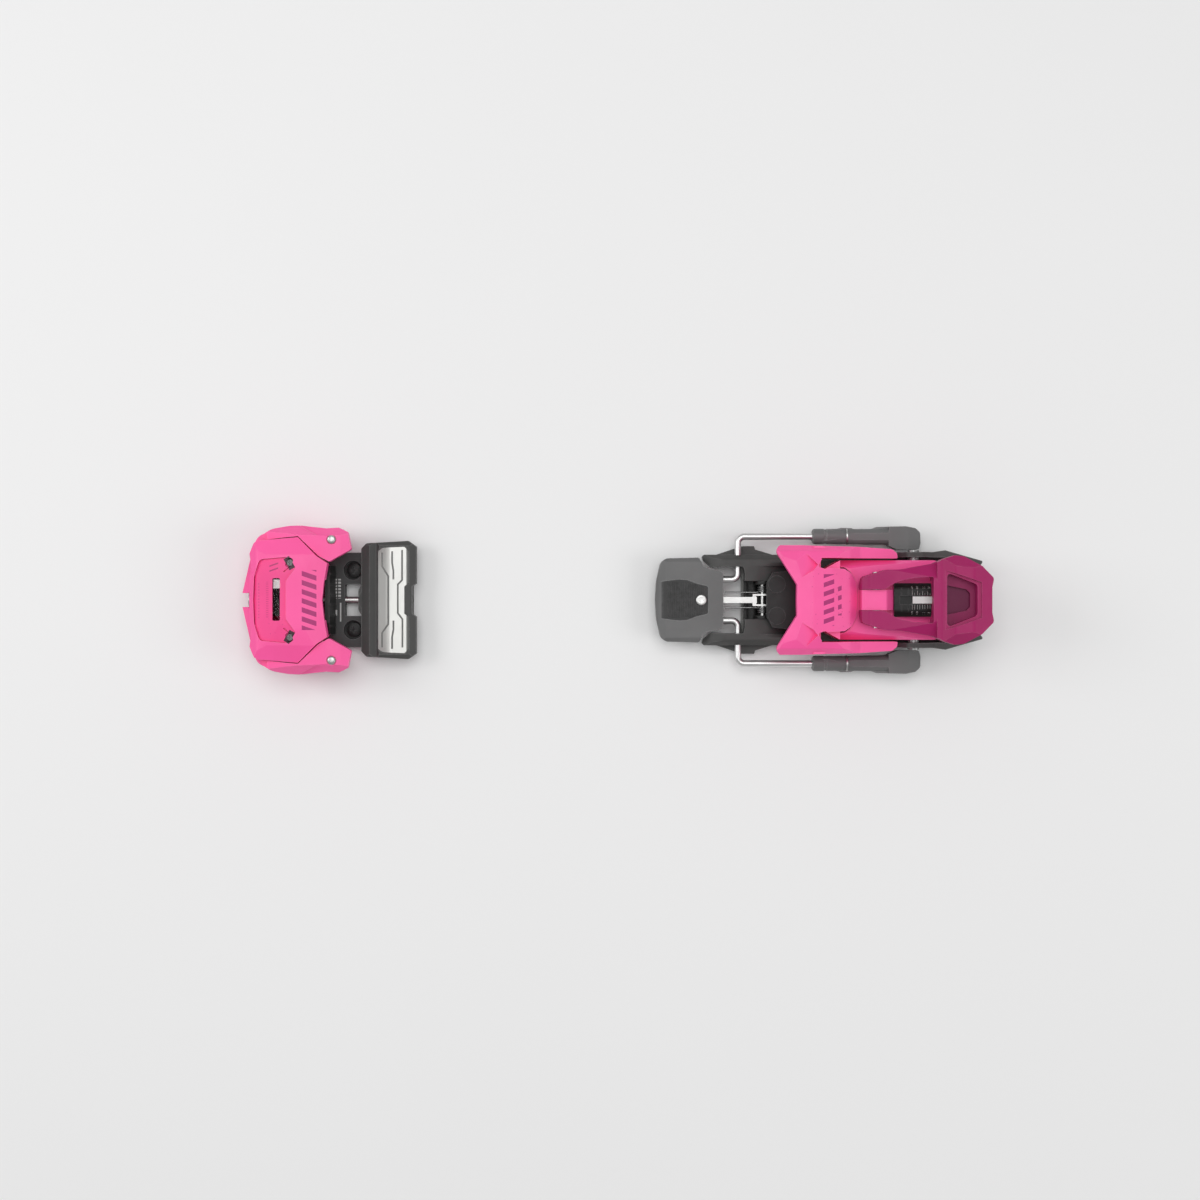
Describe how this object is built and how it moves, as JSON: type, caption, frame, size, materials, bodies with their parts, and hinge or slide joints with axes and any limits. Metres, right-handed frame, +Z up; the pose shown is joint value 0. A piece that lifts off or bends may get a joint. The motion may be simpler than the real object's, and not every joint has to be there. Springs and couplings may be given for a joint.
{
  "type": "alpine ski binding",
  "caption": "Step-in ski binding: toe unit with wing jaws and sliding sole plate, heel unit with release lever, spring housing and swing-down brake.",
  "frame": {"origin": "midway between the two rear screws of the toe unit, on the ski's top surface", "axes": "+X along the ski towards its tail, +Y to the side, +Z up from the ski"},
  "size_m": [0.5175, 0.1032, 0.0715],
  "materials": {
    "pink_shell": "satin injection-moulded nylon",
    "magenta_lever": "satin injection-moulded nylon",
    "black_plastic": "fine-grained glass-filled nylon",
    "grey_plastic": "fine-grained moulded plastic",
    "grip_rubber": "ribbed",
    "plated_steel": "zinc-plated",
    "spring_steel": "oiled",
    "slide_steel": "brushed, stamped grooves",
    "clear_lens": "clear polycarbonate",
    "white_marker": "smooth",
    "brass_nut": "machined"
  },
  "bodies": {
    "ski_interface": {"toe_base_plate": "black_plastic", "toe_housing": "pink_shell", "toe_cover": "pink_shell", "toe_cover_screws": "plated_steel", "wing_pivot_pins": "plated_steel", "toe_window_lens": "clear_lens", "toe_spring": "spring_steel", "heel_track": "black_plastic"},
    "toe_thrust_plate": {"toe_thrust_plate": "plated_steel"},
    "toe_adjust_screw": {"toe_adjust_screw": "plated_steel"},
    "toe_nut": {"toe_spring_nut": "plated_steel", "toe_cam_plate": "black_plastic"},
    "toe_indicator": {"toe_indicator": "white_marker"},
    "toe_wing_right": {"toe_wing_right": "pink_shell", "roller_pin_right": "plated_steel"},
    "toe_wing_left": {"toe_wing_left": "pink_shell", "roller_pin_left": "plated_steel"},
    "sole_roller_right": {"sole_roller_right": "black_plastic"},
    "sole_roller_left": {"sole_roller_left": "black_plastic"},
    "afd_carriage": {"afd_carriage": "black_plastic", "afd_slide_plate": "slide_steel"},
    "afd_spindle": {"afd_spindle": "plated_steel"},
    "afd_nut": {"afd_nut": "brass_nut"},
    "heel_sledge": {"heel_carriage": "black_plastic", "heel_axle": "plated_steel", "forward_pressure_springs": "spring_steel", "brake_base": "black_plastic", "link_pin": "plated_steel", "brake_return_spring": "spring_steel"},
    "length_worm": {"length_worm": "plated_steel"},
    "heel_body": {"heel_housing": "pink_shell", "heel_cup": "pink_shell", "heel_treadle": "black_plastic", "cup_bolts": "plated_steel", "release_spring": "spring_steel", "release_piston": "plated_steel", "release_scale": "black_plastic", "lever_axle": "plated_steel"},
    "release_nut": {"release_nut": "brass_nut", "release_indicator": "plated_steel"},
    "release_screw": {"release_screw": "plated_steel"},
    "heel_lever": {"heel_lever": "magenta_lever"},
    "brake_rocker": {"brake_bushes": "grey_plastic"},
    "brake_arm_right": {"brake_wire_right": "plated_steel", "brake_shoe_right": "grey_plastic"},
    "brake_arm_left": {"brake_wire_left": "plated_steel", "brake_shoe_left": "grey_plastic"},
    "brake_pedal": {"brake_pedal": "grey_plastic", "pedal_grip": "grip_rubber", "pedal_rivet": "plated_steel"},
    "brake_link": {"brake_link": "plated_steel"}
  },
  "joints": [
    {"name": "wing_right_pivot", "type": "hinge", "parent": "ski_interface", "child": "toe_wing_right", "pos_m": [-0.0557, 0.0374, 0.024], "axis": [0, 0, 1], "range_deg": [0, 20], "stiffness_Nm_per_rad": 1},
    {"name": "wing_left_pivot", "type": "hinge", "parent": "ski_interface", "child": "toe_wing_left", "pos_m": [-0.0557, -0.0374, 0.024], "axis": [0, 0, 1], "range_deg": [-20, 0], "stiffness_Nm_per_rad": 1},
    {"name": "roller_right_spin", "type": "hinge", "parent": "toe_wing_right", "child": "sole_roller_right", "pos_m": [-0.0099, 0.0414, 0.026], "axis": [0, 0, 1], "continuous": true},
    {"name": "roller_left_spin", "type": "hinge", "parent": "toe_wing_left", "child": "sole_roller_left", "pos_m": [-0.0099, -0.0414, 0.026], "axis": [0, 0, 1], "continuous": true},
    {"name": "toe_thrust_slide", "type": "slide", "parent": "ski_interface", "child": "toe_thrust_plate", "axis": [1, 0, 0], "range_m": [0, 0.0092]},
    {"name": "toe_screw_turn", "type": "hinge", "parent": "ski_interface", "child": "toe_adjust_screw", "pos_m": [-0.06, 0, 0.0225], "axis": [1, 0, 0], "range_deg": [0, 2310]},
    {"name": "toe_nut_slide", "type": "slide", "parent": "ski_interface", "child": "toe_nut", "axis": [1, 0, 0], "range_m": [-0.008, 0], "deforming": ["toe_spring"]},
    {"name": "toe_indicator_slide", "type": "slide", "parent": "ski_interface", "child": "toe_indicator", "axis": [0, 1, 0], "range_m": [-0.0161, 0]},
    {"name": "afd_spindle_turn", "type": "hinge", "parent": "ski_interface", "child": "afd_spindle", "pos_m": [0.02, 0, 0.005], "axis": [1, 0, 0], "range_deg": [-510, 570]},
    {"name": "afd_nut_slide", "type": "slide", "parent": "ski_interface", "child": "afd_nut", "axis": [1, 0, 0], "range_m": [-0.0016, 0.0018]},
    {"name": "afd_height_slide", "type": "slide", "parent": "ski_interface", "child": "afd_carriage", "axis": [0.8944, 0, 0.4472], "range_m": [-0.00155, 0.00175]},
    {"name": "heel_length_slide", "type": "slide", "parent": "ski_interface", "child": "heel_sledge", "axis": [1, 0, 0], "range_m": [-0.015, 0.015]},
    {"name": "length_worm_turn", "type": "hinge", "parent": "heel_sledge", "child": "length_worm", "pos_m": [0.39, 0, 0.0106], "axis": [1, 0, 0], "range_deg": [-1700, 1700]},
    {"name": "heel_opening", "type": "hinge", "parent": "heel_sledge", "child": "heel_body", "pos_m": [0.392, 0, 0.024], "axis": [0, 1, 0], "range_deg": [0, 24]},
    {"name": "lever_tilt", "type": "hinge", "parent": "heel_body", "child": "heel_lever", "pos_m": [0.362, 0, 0.05], "axis": [0, 1, 0], "range_deg": [0, 9], "stiffness_Nm_per_rad": 2, "springref_deg": -11.46},
    {"name": "release_screw_turn", "type": "hinge", "parent": "heel_body", "child": "release_screw", "pos_m": [0.41, 0, 0.0354], "axis": [1, 0, 0], "range_deg": [0, 1845]},
    {"name": "release_nut_slide", "type": "slide", "parent": "heel_body", "child": "release_nut", "axis": [1, 0, 0], "range_m": [-0.008, 0], "deforming": ["release_spring"]},
    {"name": "brake_swing", "type": "hinge", "parent": "heel_sledge", "child": "brake_rocker", "pos_m": [0.2709, 0, 0.013], "axis": [0, 1, 0], "range_deg": [0, 45]},
    {"name": "brake_spread_right", "type": "slide", "parent": "brake_rocker", "child": "brake_arm_right", "axis": [0, 1, 0], "range_m": [0, 0.00605]},
    {"name": "brake_spread_left", "type": "slide", "parent": "brake_rocker", "child": "brake_arm_left", "axis": [0, 1, 0], "range_m": [-0.00605, 0]},
    {"name": "pedal_tilt", "type": "hinge", "parent": "brake_rocker", "child": "brake_pedal", "pos_m": [0.248, 0, 0.013], "axis": [0, 1, 0], "range_deg": [-20.1, 0]},
    {"name": "link_swing", "type": "hinge", "parent": "heel_sledge", "child": "brake_link", "pos_m": [0.288, 0, 0.0145], "axis": [0, 1, 0], "range_deg": [0, 26.3], "deforming": ["brake_return_spring"]}
  ],
  "couplings": [
    {"joint": "toe_thrust_slide", "follows": "wing_right_pivot", "m_per_rad": 0.0263},
    {"joint": "toe_screw_turn", "follows": "toe_nut_slide", "rad_per_m": -5026.5},
    {"joint": "toe_indicator_slide", "follows": "toe_nut_slide", "ratio": 2},
    {"joint": "afd_spindle_turn", "follows": "afd_height_slide", "rad_per_m": 5619.9},
    {"joint": "afd_nut_slide", "follows": "afd_height_slide", "ratio": 0.89443},
    {"joint": "length_worm_turn", "follows": "heel_length_slide", "rad_per_m": 1963.5},
    {"joint": "release_screw_turn", "follows": "release_nut_slide", "rad_per_m": -4014.3},
    {"joint": "brake_spread_right", "follows": "brake_swing", "m_per_rad": 0.0076394},
    {"joint": "brake_spread_left", "follows": "brake_swing", "m_per_rad": -0.0076394},
    {"joint": "pedal_tilt", "follows": "brake_swing", "ratio": -0.44444},
    {"joint": "link_swing", "follows": "brake_swing", "ratio": 0.58222}
  ]
}
